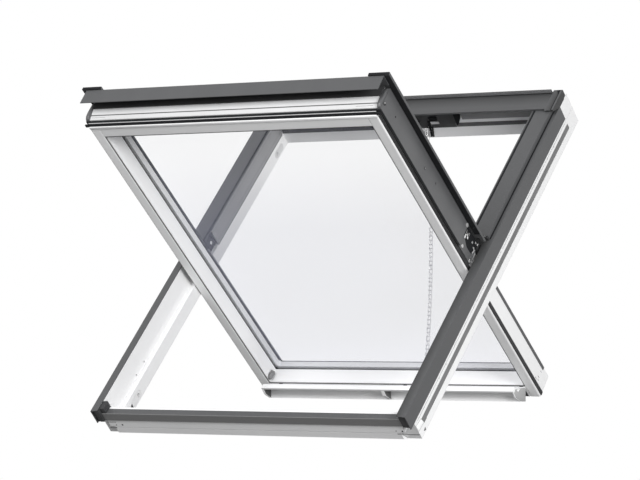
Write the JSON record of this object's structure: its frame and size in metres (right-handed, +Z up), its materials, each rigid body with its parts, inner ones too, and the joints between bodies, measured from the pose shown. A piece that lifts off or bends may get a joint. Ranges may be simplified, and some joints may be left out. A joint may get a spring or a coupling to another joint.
{
  "type": "roof skylight",
  "caption": "Centre-pivot roof window: inclined frame with dark sheet covers, glazed sash that turns about a level axis, control bar, barrel bolt and chain drive.",
  "frame": {"origin": "middle of the sash's pivot axis", "axes": "+X along the pivot axis to the right seen from indoors below, +Y horizontally towards the ridge, +Z up; the frame leans back 45 degrees and the sash stands 85 degrees open"},
  "size_m": [0.78, 0.8168, 0.7442],
  "materials": {
    "white_paint": "smooth satin white lacquer",
    "dark_cover": "satin dark grey coil coating",
    "grey_strip": "matt grey",
    "black_rubber": "matt black",
    "black_plastic": "fine matt black",
    "steel": "bright zinc plated",
    "grey_plastic": "satin grey",
    "light_spacer": "satin metal",
    "clear_glass": "clear float glass"
  },
  "bodies": {
    "frame": {"casing_end_cap_left": "dark_cover", "casing_end_cap_right": "dark_cover", "chain_drive": "black_plastic", "cleaning_bush": "black_plastic", "drive_cover": "black_plastic", "drive_tab": "steel", "frame_bottom_cover": "dark_cover", "frame_bottom_rail": "white_paint", "frame_hinge_left": "grey_strip", "frame_hinge_right": "grey_strip", "frame_hinge_screws": "steel", "frame_lower_cover_left": "dark_cover", "frame_lower_cover_right": "dark_cover", "frame_stile_left": "white_paint", "frame_stile_right": "white_paint", "frame_top_rail": "white_paint", "frame_upper_cover_left": "dark_cover", "frame_upper_cover_right": "dark_cover", "hinge_pin_left": "steel", "hinge_pin_right": "steel", "push_chain": "steel", "side_strip_left": "grey_strip", "side_strip_right": "grey_strip", "top_casing": "dark_cover", "upper_cover_seal_left": "black_rubber", "upper_cover_seal_right": "black_rubber", "ventilation_bush": "black_plastic"},
    "sash": {"bar_brackets": "black_plastic", "chain_bracket": "steel", "glazing_edge_seal": "black_rubber", "glazing_gasket": "black_rubber", "glazing_spacer": "light_spacer", "inner_pane": "clear_glass", "outer_pane": "clear_glass", "sash_bottom_cover": "dark_cover", "sash_bottom_gasket": "black_rubber", "sash_bottom_rail": "white_paint", "sash_bottom_seal": "black_rubber", "sash_hinge_left": "grey_strip", "sash_hinge_right": "grey_strip", "sash_hinge_screws": "steel", "sash_lower_cover_left": "dark_cover", "sash_lower_cover_right": "dark_cover", "sash_side_gasket_left": "black_rubber", "sash_side_gasket_right": "black_rubber", "sash_side_profile_left": "dark_cover", "sash_side_profile_right": "dark_cover", "sash_stile_left": "white_paint", "sash_stile_right": "white_paint", "sash_top_cover": "dark_cover", "sash_top_rail": "white_paint", "sash_upper_cover_left": "dark_cover", "sash_upper_cover_right": "dark_cover"},
    "control_bar": {"control_bar_left": "white_paint", "control_bar_right": "white_paint", "control_bar_lip": "white_paint", "control_bar_shaft": "steel"},
    "bolt": {"barrel_bolt": "steel", "bolt_knob": "grey_plastic"}
  },
  "joints": [
    {"name": "sash_pivot", "type": "hinge", "parent": "frame", "child": "sash", "pos_m": [0, 0, 0], "axis": [-1, 0, 0], "range_deg": [-85, 74.46], "deforming": ["push_chain"]},
    {"name": "control_bar_pivot", "type": "hinge", "parent": "sash", "child": "control_bar", "pos_m": [0, 0.25932, -0.32725], "axis": [1, 0, 0], "range_deg": [0, 35]},
    {"name": "bolt_slide", "type": "slide", "parent": "sash", "child": "bolt", "axis": [-1, 0, 0], "range_m": [0, 0.008]}
  ]
}
